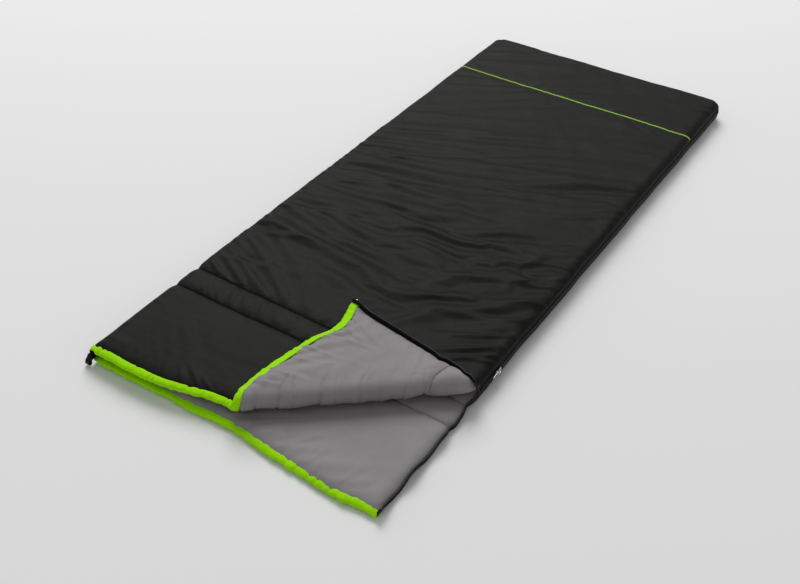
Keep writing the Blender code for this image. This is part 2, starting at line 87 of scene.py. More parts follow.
# The quilts' sewing
SEAMS = (-0.700, -0.620)
SEAM_SIDE = 0.040
SEAM_DEPTH = 0.56
SEAM_ROWS = 0.016
PIPING_SIDE = 0.05
PIPING_DEPTH = 0.30
PIPING_HALF_GAP = 0.0012
MOUTH_HEIGHT = 0.50
MOUTH_SIDE = 0.045
UNDER_BINDING = 0.010
CORNER_RADIUS = 0.035
SIDE_RADIUS = 0.026
FOOT_RADIUS = 0.030
UNDERSIDE_RADIUS = 0.016
RIM_STEPS = 7
SHEET_THICKNESS = 0.0005
GROUND_CLEARANCE = 0.0004

# How the quilts' edges leave their straight lines
SEAM_DRAW_IN = 0.0045
EDGE_WAVE = 0.0016
MOUTH_PULL = 0.042
MOUTH_PULL_FADE = 0.40
MOUTH_BOW_FADE = 0.16

# The roll where the corner turns back
BEND_LENGTH = 0.030
BEND_BULGE = 0.99
BLEND_REACH = np.array([*FOLD_DIRECTION, 0]) * 0.020
FLAP_DROOP = 0.0090
FLAP_THINNING = 0.0050


# Smooth numbers over the flat coordinates

def smooth(t):
    t = np.clip(t, 0, 1)
    return t * t * (3 - 2 * t)


def hill(t):
    """1 at t = 0, falling smoothly away on both sides."""
    return np.exp(-t * t)


def value_noise(u, v, size_u, size_v, seed):
    """Smooth random values between -1 and 1 that change over size_u by size_v metres."""
    side = 256
    lattice = np.random.default_rng(seed).uniform(-1, 1, (side, side))
    a = (np.asarray(u) + 3.0) / size_u
    b = (np.asarray(v) + 3.0) / size_v
    low_a = np.floor(a).astype(int)
    low_b = np.floor(b).astype(int)
    share_a = smooth(a - low_a)
    share_b = smooth(b - low_b)
    near = lattice[low_b % side, low_a % side] * (1 - share_a)
    near = near + lattice[low_b % side, (low_a + 1) % side] * share_a
    far = lattice[(low_b + 1) % side, low_a % side] * (1 - share_a)
    far = far + lattice[(low_b + 1) % side, (low_a + 1) % side] * share_a
    return near * (1 - share_b) + far * share_b


def puckers(along, across, length, seed, spacing=0.013, reach=0.035, height=0.0010):
    """Short ridges that stand off a sewn line: along runs on it, and across is the distance from it."""
    draw = np.random.default_rng(seed)
    places = np.arange(-length / 2, length / 2, spacing)
    total = np.zeros(np.broadcast(along, across).shape)
    for place in places:
        centre = place + draw.uniform(-0.4, 0.4) * spacing
        slant = draw.normal(0, 0.28)
        width = spacing * draw.uniform(0.22, 0.42)
        far = reach * draw.uniform(0.35, 1.5)
        size = height * draw.uniform(0.3, 1.3) * draw.choice([-0.8, 1])
        ridge = hill((along - centre - slant * across) / (width * (1 + across / far)))
        total += size * ridge * np.exp(-across / far)
    return total


def creases(along, across, rows):
    """Long curved folds from an edge. Each row: place on the edge, slant, curve, length, width, height."""
    total = np.zeros(np.broadcast(along, across).shape)
    for place, slant, curve, length, width, height in rows:
        centre = place + slant * across + curve * across * across
        fade = smooth(1.15 - across / length) * smooth(0.3 + across / (0.25 * length))
        spread = width * (0.6 + across / length)
        side = (along - centre) / spread
        total += height * fade * (hill(side) - 0.45 * hill((side - 1.5) / 1.1))
    return total


# The cloth simulation

CLOTH_STEP = 0.0078
CLOTH_FRAMES = 20
CLOTH_SHEAR = 0.009
PADDING_HOLD = 0.018


def cloth_grid():
    columns = round(2 * HALF_WIDTH / CLOTH_STEP) + 1
    rows = round((FOOT_Y - BINDING_SEAM_Y) / CLOTH_STEP) + 1
    return np.meshgrid(
        np.linspace(-HALF_WIDTH, HALF_WIDTH, columns), np.linspace(BINDING_SEAM_Y, FOOT_Y, rows)
    )


def seam_distance(v, lines):
    return np.minimum.reduce([np.abs(v - line) for line in lines])


def simulated_wrinkles(seed, shorter_along, shorter_across, lines):
    """Heights of a sheet that is too long for the quilt it is sewn to, by Blender's cloth simulation.

    The sheet is held along its edges and its seams, and lightly everywhere by the padding. While the
    simulation runs, what holds it moves closer together, so that the spare cloth buckles into wrinkles.
    """
    u, v = cloth_grid()
    start = 0.0009 * value_noise(u, v, 0.17, 0.022, seed)
    start += 0.0006 * value_noise(u + v, v - 0.3 * u, 0.07, 0.016, seed + 1)
    points = np.stack([u, v, start], -1)
    sheet = grid_object("wrinkling_sheet", points, points[..., :2])
    sheet.shape_key_add(name="flat")
    drawn_in = sheet.shape_key_add(name="drawn_in")
    across_share = shorter_across * (0.25 + hill(seam_distance(v, lines) / 0.03))
    along_share = shorter_along * (1 + 0.5 * value_noise(u, v, 0.5, 0.35, seed + 2))
    moved = points.copy()
    moved[..., 0] = u * (1 - across_share) + CLOTH_SHEAR * v + 0.004 * np.sin(2.2 * v + seed)
    moved[..., 1] = v - along_share * v
    drawn_in.data.foreach_set("co", moved.ravel())
    drawn_in.value = 0.0
    drawn_in.keyframe_insert("value", frame=1)
    drawn_in.value = 1.0
    drawn_in.keyframe_insert("value", frame=CLOTH_FRAMES - 6)
    edge = np.minimum(HALF_WIDTH - np.abs(u), seam_distance(v, (*lines, FOOT_Y)))
    held = edge.ravel() < 0.6 * CLOTH_STEP
    group = sheet.vertex_groups.new(name="held")
    group.add(np.nonzero(held)[0].tolist(), 1.0, "REPLACE")
    group.add(np.nonzero(~held)[0].tolist(), PADDING_HOLD, "REPLACE")
    modifier = sheet.modifiers.new("cloth", "CLOTH")
    modifier.point_cache.frame_end = CLOTH_FRAMES
    cloth = modifier.settings
    cloth.quality = 4
    cloth.mass = 0.15
    cloth.air_damping = 2
    cloth.tension_stiffness = 30
    cloth.compression_stiffness = 30
    cloth.shear_stiffness = 10
    cloth.bending_stiffness = 1.0
    cloth.tension_damping = 10
    cloth.compression_damping = 10
    cloth.shear_damping = 10
    cloth.vertex_group_mass = "held"
    cloth.pin_stiffness = 1.0
    cloth.effector_weights.gravity = 0
    for number in range(1, CLOTH_FRAMES + 1):
        bpy.context.scene.frame_set(number)
    evaluated = sheet.evaluated_get(bpy.context.evaluated_depsgraph_get())
    wrinkled = evaluated.to_mesh()
    result = np.empty(len(wrinkled.vertices) * 3)
    wrinkled.vertices.foreach_get("co", result)
    evaluated.to_mesh_clear()
    bpy.data.objects.remove(sheet)
    bpy.context.scene.frame_set(1)
    return result.reshape(points.shape)[..., 2]


def cubic_weights(t):
    """Catmull-Rom weights of the four samples round a place, t of the way from the second to the third."""
    return (
        ((-t + 2) * t - 1) * t / 2,
        ((3 * t - 5) * t * t + 2) / 2,
        ((-3 * t + 4) * t + 1) * t / 2,
        (t - 1) * t * t / 2,
    )


def sampled(heights, u, v):
    """The simulated heights at flat coordinates, smoothly between the grid's points."""
    rows, columns = heights.shape
    a = np.clip((u + HALF_WIDTH) / (2 * HALF_WIDTH), 0, 1) * (columns - 1)
    b = np.clip((v - BINDING_SEAM_Y) / (FOOT_Y - BINDING_SEAM_Y), 0, 1) * (rows - 1)
    low_a = np.minimum(a.astype(int), columns - 2)
    low_b = np.minimum(b.astype(int), rows - 2)
    total = 0
    for row, row_weight in enumerate(cubic_weights(b - low_b)):
        at_row = np.clip(low_b + row - 1, 0, rows - 1)
        for column, weight in enumerate(cubic_weights(a - low_a)):
            at_column = np.clip(low_a + column - 1, 0, columns - 1)
            total = total + heights[at_row, at_column] * row_weight * weight
    return total


# Meshes from grids

def linked_object(name, data):
    obj = bpy.data.objects.new(name, data)
    bpy.context.scene.collection.objects.link(obj)
    return obj


def grid_object(name, points, uv, wrap=False):
    """An object of quads through a (rows, columns, 3) array; wrap joins the last column to the first."""
    rows, columns = points.shape[:2]
    vertex = np.arange(rows * columns).reshape(rows, columns)
    if wrap:
        vertex = np.concatenate([vertex, vertex[:, :1]], 1)
    corners = [np.s_[:-1, :-1], np.s_[:-1, 1:], np.s_[1:, 1:], np.s_[1:, :-1]]
    quads = np.stack([vertex[corner] for corner in corners], -1).reshape(-1, 4)
    mesh = bpy.data.meshes.new(name)
    mesh.from_pydata(points.reshape(-1, 3).tolist(), [], quads.tolist())
    layer = mesh.uv_layers.new(name="flat")
    corner_uv = np.stack([uv[corner] for corner in corners], -2).reshape(-1)
    layer.data.foreach_set("uv", corner_uv.astype(np.float32))
    mesh.shade_smooth()
    return linked_object(name, mesh)


def move_points(obj, way):
    """Moves the object's points by way, which takes and returns an (n, 3) array."""
    points = np.empty(len(obj.data.vertices) * 3)
    obj.data.vertices.foreach_get("co", points)
    obj.data.vertices.foreach_set("co", way(points.reshape(-1, 3)).astype(np.float32).ravel())
    obj.data.update()


def keep_side(obj, offset, keep_flap):
    """Cuts the flat sheet at the line that lies offset from the fold line, and keeps one side of it."""
    bm = bmesh.new()
    bm.from_mesh(obj.data)
    normal = Vector((*FOLD_NORMAL, 0))
    bmesh.ops.bisect_plane(
        bm,
        geom=bm.verts[:] + bm.edges[:] + bm.faces[:],
        dist=1e-6,
        plane_co=Vector(FOLD_POINT) + normal * offset,
        plane_no=normal,
        clear_inner=not keep_flap,
        clear_outer=keep_flap,
    )
    bm.to_mesh(obj.data)
    bm.free()


def finish_piece(obj, slot, nodes, body=None, blend=None, thickness=SHEET_THICKNESS):
    """The slot and its material, thickness, replaced nodes, and the body it rides on, or else its transform
    baked in. blend is not used.
    """
    obj.data.materials.clear()
    obj.data.materials.append(MATERIALS[slot])
    if thickness:
        modifier = obj.modifiers.new("thickness", "SOLIDIFY")
        modifier.thickness = thickness
        modifier.offset = -1
    if nodes:
        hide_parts(*nodes)
    if body:
        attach(obj, body)
    else:
        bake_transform(obj)


def edge_spaced(low, high, step, low_end=0.0, high_end=0.0):
    """Values from low to high, a step apart, and closer together over low_end and high_end at the ends."""
    closer = 1 - np.cos(np.linspace(0, math.pi / 2, RIM_STEPS + 1))
    count = max(2, round((high - low - low_end - high_end) / step) + 1)
    parts = [np.linspace(low + low_end, high - high_end, count)]
    if low_end:
        parts.insert(0, low + low_end * closer[:-1])
    if high_end:
        parts.append((high - high_end * closer[:-1])[::-1])
    return np.concatenate(parts)


def sewn_rows(low, high, step, low_end=0.0, high_end=0.0, seams=SEAMS):
    """Rows along the bag that are closer together on both sides of each seam."""
    ends = [low, *[seam for seam in seams if low < seam < high], high]
    parts = []
    for number, (start, stop) in enumerate(zip(ends[:-1], ends[1:])):
        start_end = SEAM_ROWS if number else low_end
        stop_end = SEAM_ROWS if stop != high else high_end
        parts.append(edge_spaced(start, stop, step, start_end, stop_end)[1 if number else 0:])
    return np.concatenate(parts)


# The quilts' shape

def rounded_corners(u, v):
    """Turns the square foot corners of the flat grid into round ones."""
    a = (np.abs(u) - (HALF_WIDTH - CORNER_RADIUS)) / CORNER_RADIUS
    b = (v - (FOOT_Y - CORNER_RADIUS)) / CORNER_RADIUS
    inside = (a > 0) & (b > 0)
    most = np.where(inside, np.maximum(a, b), 1)
    least = np.where(inside, np.minimum(a, b), 0)
    turn = math.pi / 4 * least / most
    turn = np.where(a >= b, turn, math.pi / 2 - turn)
    round_u = np.sign(u) * (HALF_WIDTH - CORNER_RADIUS + CORNER_RADIUS * most * np.cos(turn))
    round_v = FOOT_Y - CORNER_RADIUS + CORNER_RADIUS * most * np.sin(turn)
    return np.where(inside, round_u, u), np.where(inside, round_v, v)


def off_stop(v):
    """0 beside the zip's metal stops, which hold the cloth to its true place, and 1 away from them."""
    return 1 - hill((v - STOP_Y) / 0.025)


def outline_wave(v):
    """How far the quilts' sides draw in along the bag: at the seams most, and a little everywhere."""
    drawn = SEAM_DRAW_IN * sum(hill((v - seam) / 0.012) for seam in SEAMS)
    return drawn + EDGE_WAVE * (1 + value_noise(v, 0 * v, 0.085, 1, 41)) * off_stop(v)


def drawn_in_side(u, v):
    """The outline's wave, for the points near the quilt's side edges."""
    return np.sign(u) * outline_wave(v) * smooth((np.abs(u) - 0.33) / 0.09)


def mouth_pull(u):
    """How far the top quilt's mouth edge is drawn back: most where the fold starts."""
    start_side = np.where(u < -0.03, 0.125, 0.070)
    pull = MOUTH_PULL * hill((u + 0.03) / start_side)
    pull = pull + 0.015 * smooth((u + 0.05) / 0.15) * smooth((HALF_WIDTH - u) / 0.05)
    return pull + 0.015 * hill((u - 0.335) / 0.045)


def mouth_fade(v):
    """1 at the mouth, and 0 where the pull on its edge no longer reaches."""
    return 1 - smooth((v - MOUTH_Y) / MOUTH_PULL_FADE)


def fold_across(x, y):
    """How far a place in plan is from the fold line; it is below 0 on the turned corner."""
    return (x - FOLD_POINT[0]) * FOLD_NORMAL[0] + (y - FOLD_POINT[1]) * FOLD_NORMAL[1]


def off_tip(u, v):
    """0 at the turned corner's tip, where the zip's metal stop sits, and 1 away from it."""
    return 1 - hill(np.hypot(HALF_WIDTH - u, v - STOP_Y) / 0.035)


def flap_droop(u, v):
    """How far the rim of the turned corner sinks onto the quilt below it, from the free edges inwards."""
    edge = np.minimum(HALF_WIDTH - u, v - MOUTH_Y)
    beyond_roll = smooth((-fold_across(u, v) - 0.03) / 0.07)
    return FLAP_DROOP * smooth(1 - edge / 0.06) * beyond_roll * off_tip(u, v)


def flap_thinning(across):
    """How much less the turned corner's padding stands up far from the roll."""
    return FLAP_THINNING * smooth((-across - 0.13) / 0.15)


def top_plan(u, v):
    """Where the top quilt's flat points lie in plan, before the corner is turned back."""
    x, y = rounded_corners(u, v)
    return x - drawn_in_side(u, v), y + mouth_pull(u) * mouth_fade(v)


def bottom_plan(u, v):
    """Where the bottom quilt's flat points lie in plan; its mouth bows in and waves a little."""
    x, y = rounded_corners(u, v)
    bow = 0.018 * hill((u - 0.01) / 0.13) + 0.008 * hill((u + 0.20) / 0.14) - 0.006 * hill((u - 0.31) / 0.06)
    bow = bow + 0.0022 * value_noise(u, 0 * u, 0.11, 1, 47)
    return x - drawn_in_side(u, v), y + bow * (1 - smooth((v - MOUTH_Y) / MOUTH_BOW_FADE))


def bullnose(distance, radius):
    return np.sqrt(1 - (1 - np.clip(distance / radius, 0, 1)) ** 2)


def quilt_height(u, v, side_radius=SIDE_RADIUS, foot_radius=FOOT_RADIUS, seams=SEAMS):
    """The share of the full half thickness, from the distances to the edges and the seams."""
    side = bullnose(HALF_WIDTH - np.abs(u), side_radius)
    foot = bullnose(FOOT_Y - v, foot_radius)
    beyond = v - BINDING_SEAM_Y
    mouth = MOUTH_HEIGHT + (1 - MOUTH_HEIGHT) * bullnose(beyond, MOUTH_SIDE)
    mouth = mouth - 0.30 * smooth(-beyond / UNDER_BINDING)
    sewn = 1 - SEAM_DEPTH * (1 - bullnose(seam_distance(v, seams), SEAM_SIDE))
    piping = 1 - PIPING_DEPTH * (1 - bullnose(np.abs(v - PIPING_Y), PIPING_SIDE))
    return side * foot * mouth * sewn * piping


def sewn_puckers(u, v, seed, seams=SEAMS):
    """The puckers along the side edges, the seams, the mouth and the piping."""
    side = HALF_WIDTH - np.abs(u)
    total = puckers(v, side, 2.0, seed, 0.017, 0.030, 0.0014) * smooth(side / 0.010)
    for number, seam in enumerate(seams):
        across = np.abs(v - seam)
        total += puckers(u, across, 0.85, seed + 10 + number, 0.011, 0.017, 0.0015)
    total += puckers(u, np.maximum(v - BINDING_SEAM_Y, 0), 0.85, seed + 20, 0.013, 0.030, 0.0016)
    total += puckers(u, np.abs(v - PIPING_Y), 0.85, seed + 30, 0.012, 0.013, 0.0006)
    return total * smooth((FOOT_Y - v) / 0.02)


# Folds in the top shell beside the slider, measured along the zip edge
SLIDER_CREASES = (
    (-0.500, -0.30, -1.6, 0.12, 0.008, 0.0046),
    (-0.470, -0.70, -0.9, 0.17, 0.009, 0.0056),
    (-0.432, -0.80, 0.4, 0.22, 0.010, 0.0060),
    (-0.385, -0.75, 0.9, 0.26, 0.011, 0.0052),
    (-0.320, -0.60, 0.8, 0.30, 0.013, 0.0046),
    (-0.235, -0.65, 0.5, 0.34, 0.014, 0.0038),
    (-0.120, -0.80, 0.7, 0.36, 0.015, 0.0036),
    (0.030, -0.60, 0.3, 0.34, 0.016, 0.0034),
    (0.210, -0.75, 0.6, 0.34, 0.016, 0.0034),
    (0.400, -0.55, 0.2, 0.30, 0.016, 0.0028),
    (0.570, -0.35, 0.3, 0.26, 0.015, 0.0024),
)

# Long folds across the top shell, measured along its left edge
FIELD_CREASES = (
    (-0.560, 0.20, 0.30, 0.40, 0.013, 0.0022),
    (-0.430, 0.35, 0.20, 0.46, 0.014, 0.0026),
    (-0.280, 0.30, 0.40, 0.48, 0.014, 0.0028),
    (-0.130, 0.55, -0.10, 0.52, 0.013, 0.0028),
    (0.030, 0.65, -0.25, 0.58, 0.014, 0.0030),
    (0.190, 0.50, 0.10, 0.54, 0.015, 0.0028),
    (0.350, 0.35, 0.20, 0.48, 0.015, 0.0026),
)

# Folds at the top quilt's mouth beside the turned corner, measured along the mouth
MOUTH_CREASES = (
    (-0.070, -1.60, 3.0, 0.060, 0.006, 0.0042),
    (-0.105, -0.90, -3.0, 0.075, 0.006, 0.0048),
    (-0.150, -0.55, -4.0, 0.065, 0.007, 0.0036),
    (-0.205, -0.25, -1.0, 0.055, 0.007, 0.0022),
    (-0.300, 0.20, 1.0, 0.050, 0.008, 0.0016),
)

# Folds at the bottom lining's mouth, measured along it
LINING_CREASES = (
    (-0.030, 1.10, 2.0, 0.110, 0.005, 0.0026),
    (0.020, 0.90, 2.0, 0.130, 0.005, 0.0026),
    (0.075, 0.70, 1.0, 0.150, 0.006, 0.0024),
    (0.140, 0.55, 1.0, 0.130, 0.006, 0.0022),
    (0.215, 0.40, -1.0, 0.110, 0.006, 0.0020),
    (0.310, 0.25, 0.5, 0.100, 0.006, 0.0018),
)


# The share of the simulated wrinkles that the top shell shows, and how much calmer they are in some places
SHELL_STRENGTH = 0.90
CALMER_AT_MOUTH = 0.66
CALMER_AT_FOOT = 0.32
CALMER_NEAR_LEFT = 0.35


def shell_relief(u, v):
    """The top shell's folds and wrinkles."""
    zip_side = HALF_WIDTH - u
    left_side = HALF_WIDTH + u
    away = smooth((v - SEAMS[1]) / 0.06)
    total = creases(v, zip_side, SLIDER_CREASES) * smooth((v - SEAMS[1]) / 0.03)
    total += creases(v, left_side, FIELD_CREASES) * away
    total += creases(u, np.maximum(v - BINDING_SEAM_Y, 0), MOUTH_CREASES)
    strength = SHELL_STRENGTH - CALMER_AT_MOUTH * smooth((SEAMS[0] - v + 0.02) / 0.05)
    strength = strength - CALMER_AT_FOOT * smooth((v - 0.10) / 0.4)
    strength = strength * (1 - CALMER_NEAR_LEFT * hill((u + 0.25) / 0.15) * hill((v + 0.50) / 0.15))
    strength = strength * (0.80 + 0.75 * value_noise(u, v, 0.30, 0.22, 5))
    total += strength * sampled(SHELL_WRINKLES, u, v)
    total += 0.0016 * value_noise(u + 0.4 * v, v - 0.3 * u, 0.16, 0.11, 6)
    total += 0.0008 * value_noise(u - 0.5 * v, v + 0.5 * u, 0.060, 0.045, 7) * away
    return total + sewn_puckers(u, v, 100)


def lining_relief(u, v, seed=0, seams=SEAMS):
    """The linings' softer folds and wrinkles."""
    strength = 0.40 + 0.3 * value_noise(u, v, 0.3, 0.2, 15 + seed)
    total = strength * sampled(LINING_WRINKLES, u, v)
    total += 0.0010 * value_noise(u, v, 0.14, 0.10, 16 + seed)
    return total + sewn_puckers(u, v, 200 + seed, seams)


def settled(height, share):
    """Keeps the relief off the rim, where the two sheets of a quilt are sewn together."""
    return height * smooth(share * 1.6 - 0.1)


def flat_grid(low_v, high_v, step, side_end, low_end=0.0, high_end=0.0):
    across = edge_spaced(-HALF_WIDTH, HALF_WIDTH, step, side_end, side_end)
    along = sewn_rows(low_v, high_v, step, low_end, high_end)
    return np.meshgrid(across, along)


def sheet_object(name, u, v, z, up, plan=top_plan):
    """A quilt sheet from flat coordinates and heights. up says which way its outer face looks."""
    x, y = plan(u, v)
    obj = grid_object(name, np.stack([x, y, z], -1), np.stack([u, v], -1))
    if not up:
        obj.data.flip_normals()
    return obj


def fold_over(points):
    """Where flat points of the top quilt lie once the corner is turned back over the fold line."""
    offset = points[:, :2] - FOLD_POINT[:2]
    along = offset @ FOLD_DIRECTION
    across = offset @ FOLD_NORMAL
    below = FOLD_POINT[2] - points[:, 2]
    half = BEND_LENGTH / 2
    turn = math.pi * (0.5 - np.clip(across / BEND_LENGTH, -0.5, 0.5))
    rolled = half - BEND_BULGE * below * np.sin(turn)
    out = np.where(np.abs(across) > half, np.abs(across), rolled)
    plan = FOLD_POINT[:2] + np.outer(along, FOLD_DIRECTION) + out[:, None] * FOLD_NORMAL
    return np.column_stack([plan, FOLD_POINT[2] - below * np.cos(turn)])


def turned_back(points):
    """A mirror image across the fold line's plane and height: the flap's stiff half turn."""
    across = (points[:, :2] - FOLD_POINT[:2]) @ FOLD_NORMAL
    plan = points[:, :2] - 2 * across[:, None] * FOLD_NORMAL
    return np.column_stack([plan, 2 * FOLD_POINT[2] - points[:, 2]])


# Materials

class Nodes:
    """A material's node tree, with short ways to add to it."""

    def __init__(self, name):
        self.material = bpy.data.materials.new(name)
        self.material.use_nodes = True
        self.tree = self.material.node_tree
        self.shader = self.tree.nodes["Principled BSDF"]

    def add(self, kind, inputs=None, **settings):
        node = self.tree.nodes.new(kind)
        for key, value in settings.items():
            setattr(node, key, value)
        for key, value in (inputs or {}).items():
            if isinstance(value, bpy.types.NodeSocket):
                self.tree.links.new(value, node.inputs[key])
            else:
                node.inputs[key].default_value = value
        return node

    def link(self, output, socket):
        self.tree.links.new(output, self.shader.inputs[socket])

    def rough(self, value, low, high):
        spread = self.add("ShaderNodeMapRange", {"Value": value, "To Min": low, "To Max": high})
        self.link(spread.outputs[0], "Roughness")

    def plain(self, values):
        """Sets sockets of the shader that are the same all over the surface."""
        for socket, value in values.items():
            self.shader.inputs[socket].default_value = value

    def flat_place(self, scale):
        """The flat coordinates, scaled."""
        uv = self.add("ShaderNodeUVMap", uv_map="flat")
        mapping = self.add("ShaderNodeMapping", {"Vector": uv.outputs[0], "Scale": scale})
        return mapping.outputs[0]

    def noise(self, place, scale, detail=3.0, roughness=0.55):
        made = self.add(
            "ShaderNodeTexNoise",
            {"Vector": place, "Scale": scale, "Detail": detail, "Roughness": roughness},
        )
        return made.outputs["Fac"]

    def math(self, operation, first, second):
        return self.add("ShaderNodeMath", {0: first, 1: second}, operation=operation).outputs[0]

    def ramp(self, value, low, high, low_colour, high_colour):
        node = self.add("ShaderNodeValToRGB", {"Fac": value})
        ends = node.color_ramp.elements
        ends[0].position = low
        ends[0].color = (*low_colour, 1)
        ends[1].position = high
        ends[1].color = (*high_colour, 1)
        return node.outputs[0]

    def bump(self, height, distance, strength=1.0, normal=None):
        inputs = {"Height": height, "Distance": distance, "Strength": strength}
        if normal is not None:
            inputs["Normal"] = normal
        return self.add("ShaderNodeBump", inputs).outputs[0]

    def weave(self, threads):
        """Crossing threads: threads is how many there are to a metre."""
        place = self.flat_place((threads, threads, threads))
        waves = [
            self.add(
                "ShaderNodeTexWave",
                {"Vector": place, "Scale": 0.5, "Distortion": 0.6, "Detail": 1.0},
                bands_direction=direction,
            ).outputs["Fac"]
            for direction in ("X", "Y")
        ]
        return self.math("MULTIPLY", *waves)


THREADS = 1500
THREAD_HEIGHT = 0.00012


def fabric(name, colour, lighter, roughness, gloss, sheen, crumple):
    """A woven cloth: colour that varies a little, fine threads, and a crumple too small to model."""
    nodes = Nodes(name)
    place = nodes.flat_place((1, 1, 1))
    broad = nodes.noise(place, 9.0, 5.0, 0.6)
    fine = nodes.noise(place, 420.0, 2.0, 0.5)
    mixed = nodes.math("ADD", nodes.math("MULTIPLY", broad, 0.5), nodes.math("MULTIPLY", fine, 0.5))
    nodes.link(nodes.ramp(mixed, 0.30, 0.72, colour, lighter), "Base Color")
    nodes.rough(fine, roughness - 0.06, roughness + 0.08)
    stretched = nodes.flat_place((0.45, 1, 1))
    small_folds = nodes.noise(stretched, 55.0, 4.0, 0.55)
    crumpled = nodes.bump(small_folds, crumple, 0.6)
    woven = nodes.bump(nodes.weave(THREADS), THREAD_HEIGHT, 0.5, crumpled)
    nodes.link(woven, "Normal")
    nodes.plain({"Sheen Weight": sheen, "Sheen Roughness": 0.45, "Specular IOR Level": gloss})
    return nodes.material


def tape_material(name, colour, lighter, ribs, roughness):
    """Woven tape with ribs across it."""
    nodes = Nodes(name)
    place = nodes.flat_place((1, 1, 1))
    fine = nodes.noise(place, 260.0, 3.0, 0.6)
    nodes.link(nodes.ramp(fine, 0.30, 0.70, colour, lighter), "Base Color")
    rib_place = nodes.flat_place((ribs, ribs, ribs))
    rib = nodes.add("ShaderNodeTexWave", {"Vector": rib_place, "Scale": 0.5, "Distortion": 0.4})
    crumpled = nodes.bump(nodes.noise(place, 90.0, 3.0, 0.5), 0.0006, 0.5)
    nodes.link(nodes.bump(rib.outputs["Fac"], 0.0002, 0.5, crumpled), "Normal")
    nodes.plain({"Roughness": roughness, "Specular IOR Level": 0.12})
    return nodes.material


def metal_material():
    """Bright plated metal with fine scratches and a little wear."""
    nodes = Nodes("zip_metal")
    where = nodes.add("ShaderNodeTexCoord").outputs["Object"]
    scratches = nodes.noise(where, 900.0, 4.0, 0.7)
    patches = nodes.noise(where, 160.0, 3.0, 0.6)
    nodes.link(nodes.ramp(patches, 0.35, 0.7, (0.30, 0.30, 0.31), (0.52, 0.52, 0.53)), "Base Color")
    nodes.rough(scratches, 0.28, 0.50)
    nodes.link(nodes.bump(scratches, 0.00008, 0.4), "Normal")
    nodes.plain({"Metallic": 1.0})
    return nodes.material


def plastic_material():
    """The zip's black moulded teeth."""
    nodes = Nodes("zip_coil")
    where = nodes.add("ShaderNodeTexCoord").outputs["Object"]
    fine = nodes.noise(where, 700.0, 3.0, 0.6)
    nodes.link(nodes.ramp(fine, 0.3, 0.7, (0.008, 0.008, 0.009), (0.020, 0.020, 0.021)), "Base Color")
    nodes.rough(fine, 0.34, 0.52)
    return nodes.material


# Darker and lighter colour, roughness, gloss, sheen and the depth of the crumple
FABRICS = {
    "shell_fabric": ((0.0070, 0.0067, 0.0058), (0.0120, 0.0115, 0.0100), 0.46, 0.06, 0.0, 0.0018),
    "lining_fabric": ((0.220, 0.205, 0.214), (0.285, 0.267, 0.276), 0.58, 0.16, 0.04, 0.0012),
    "binding_tape": ((0.270, 0.680, 0.001), (0.370, 0.820, 0.002), 0.60, 0.05, 0.0, 0.0016),
}
# Darker and lighter colour, ribs to a metre and roughness
TAPES = {
    "piping_cord": ((0.330, 0.640, 0.060), (0.450, 0.760, 0.120), 700, 0.6),
    "zip_tape": ((0.006, 0.006, 0.007), (0.013, 0.013, 0.014), 900, 0.75),
    "webbing": ((0.007, 0.007, 0.008), (0.016, 0.016, 0.017), 600, 0.8),
}
MATERIALS = {name: fabric(name, *look) for name, look in FABRICS.items()}
for name, look in TAPES.items():
    MATERIALS[name] = tape_material(name, *look)
MATERIALS["zip_metal"] = metal_material()
MATERIALS["zip_coil"] = plastic_material()


# The quilts

HELD_LINES = (BINDING_SEAM_Y, *SEAMS, PIPING_Y)
SHELL_WRINKLES = simulated_wrinkles(11, 0.013, 0.012, HELD_LINES)
LINING_WRINKLES = simulated_wrinkles(12, 0.009, 0.014, HELD_LINES)

VISIBLE_STEP = 0.0052
HIDDEN_STEP = 0.0085
SHEET_MOUTH_Y = BINDING_SEAM_Y - UNDER_BINDING


def top_rim_z(u, v):
    """The top quilt's rim, before the corner is turned back."""
    return TOP_RIM_Z + flap_droop(u, v)


def top_shell_z(u, v):
    share = quilt_height(u, v)
    return TOP_RIM_Z + HALF_THICKNESS * share + settled(shell_relief(u, v), share)


def top_lining_z(u, v):
    share = quilt_height(u, v)
    return TOP_RIM_Z - HALF_THICKNESS * share + settled(np.abs(lining_relief(u, v, 3)), share)


def bottom_rim_z(u, v):
    """The bottom quilt's rim: it sinks towards the ground at the open corner, and waves there."""
    open_edge = smooth((FOLD_END_Y + 0.03 - v) / 0.05) * smooth((u - 0.30) / 0.12)
    waves = 0.0035 * np.sin((v + 0.64) * 2 * math.pi / 0.125) + 0.002 * value_noise(v, 0 * v, 0.05, 1, 44)
    mouth = 0.0040 * (1 - smooth((v - MOUTH_Y) / 0.08))
    return BOTTOM_RIM_Z - mouth + open_edge * (waves - 0.0025)


def bottom_lining_z(u, v):
    share = quilt_height(u, v)
    rim = bottom_rim_z(u, v)
    folds = creases(u, np.maximum(v - BINDING_SEAM_Y, 0), LINING_CREASES)
    relief = settled(lining_relief(u, v) + folds, share)
    return rim + (BOTTOM_TOP_Z - rim) * share + np.minimum(relief, 0.0025)


def bottom_shell_z(u, v):
    share = quilt_height(u, v, UNDERSIDE_RADIUS, UNDERSIDE_RADIUS)
    rim = bottom_rim_z(u, v)
    return np.maximum(rim * (1 - share) + 0.3 * np.abs(sewn_puckers(u, v, 300)), GROUND_CLEARANCE)


